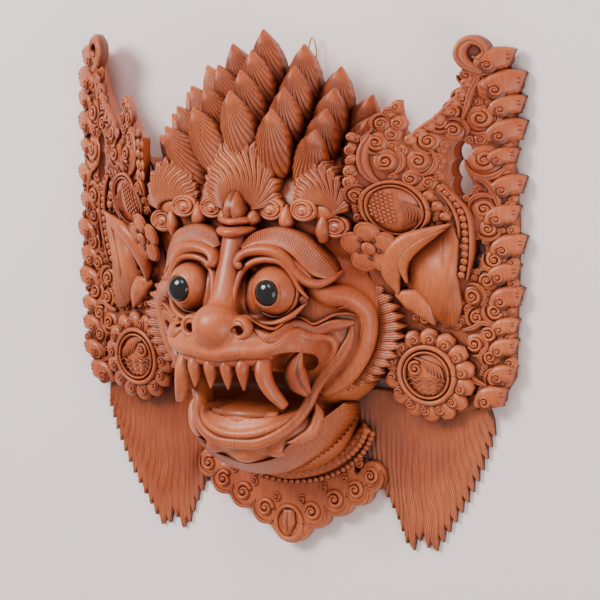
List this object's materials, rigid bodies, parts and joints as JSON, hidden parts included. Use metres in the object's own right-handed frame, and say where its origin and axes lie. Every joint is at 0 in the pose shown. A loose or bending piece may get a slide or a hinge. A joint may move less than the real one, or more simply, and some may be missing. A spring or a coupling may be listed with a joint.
{
  "type": "barong mask",
  "caption": "Carved wooden barong mask with a leaf-pod crown, bulging eyes, fangs, scroll side wings and hair panels, lying on its back.",
  "frame": {"origin": "centre of the mask's outline on the flat back, at the surface it lies on", "axes": "+Z out of the face, +Y towards the crown, +X towards the viewer's right"},
  "size_m": [0.411, 0.402, 0.131],
  "materials": {
    "carved_wood": "satin-polished orange-brown hardwood, darker in the cuts",
    "black_pupil": "polished black",
    "brass_wire": "drawn wire, slightly dulled"
  },
  "bodies": {
    "root": {"face_block": "carved_wood", "wing_right": "carved_wood", "wing_left": "carved_wood", "pupil_right": "black_pupil", "pupil_left": "black_pupil", "hanging_wire": "brass_wire"}
  },
  "joints": []
}
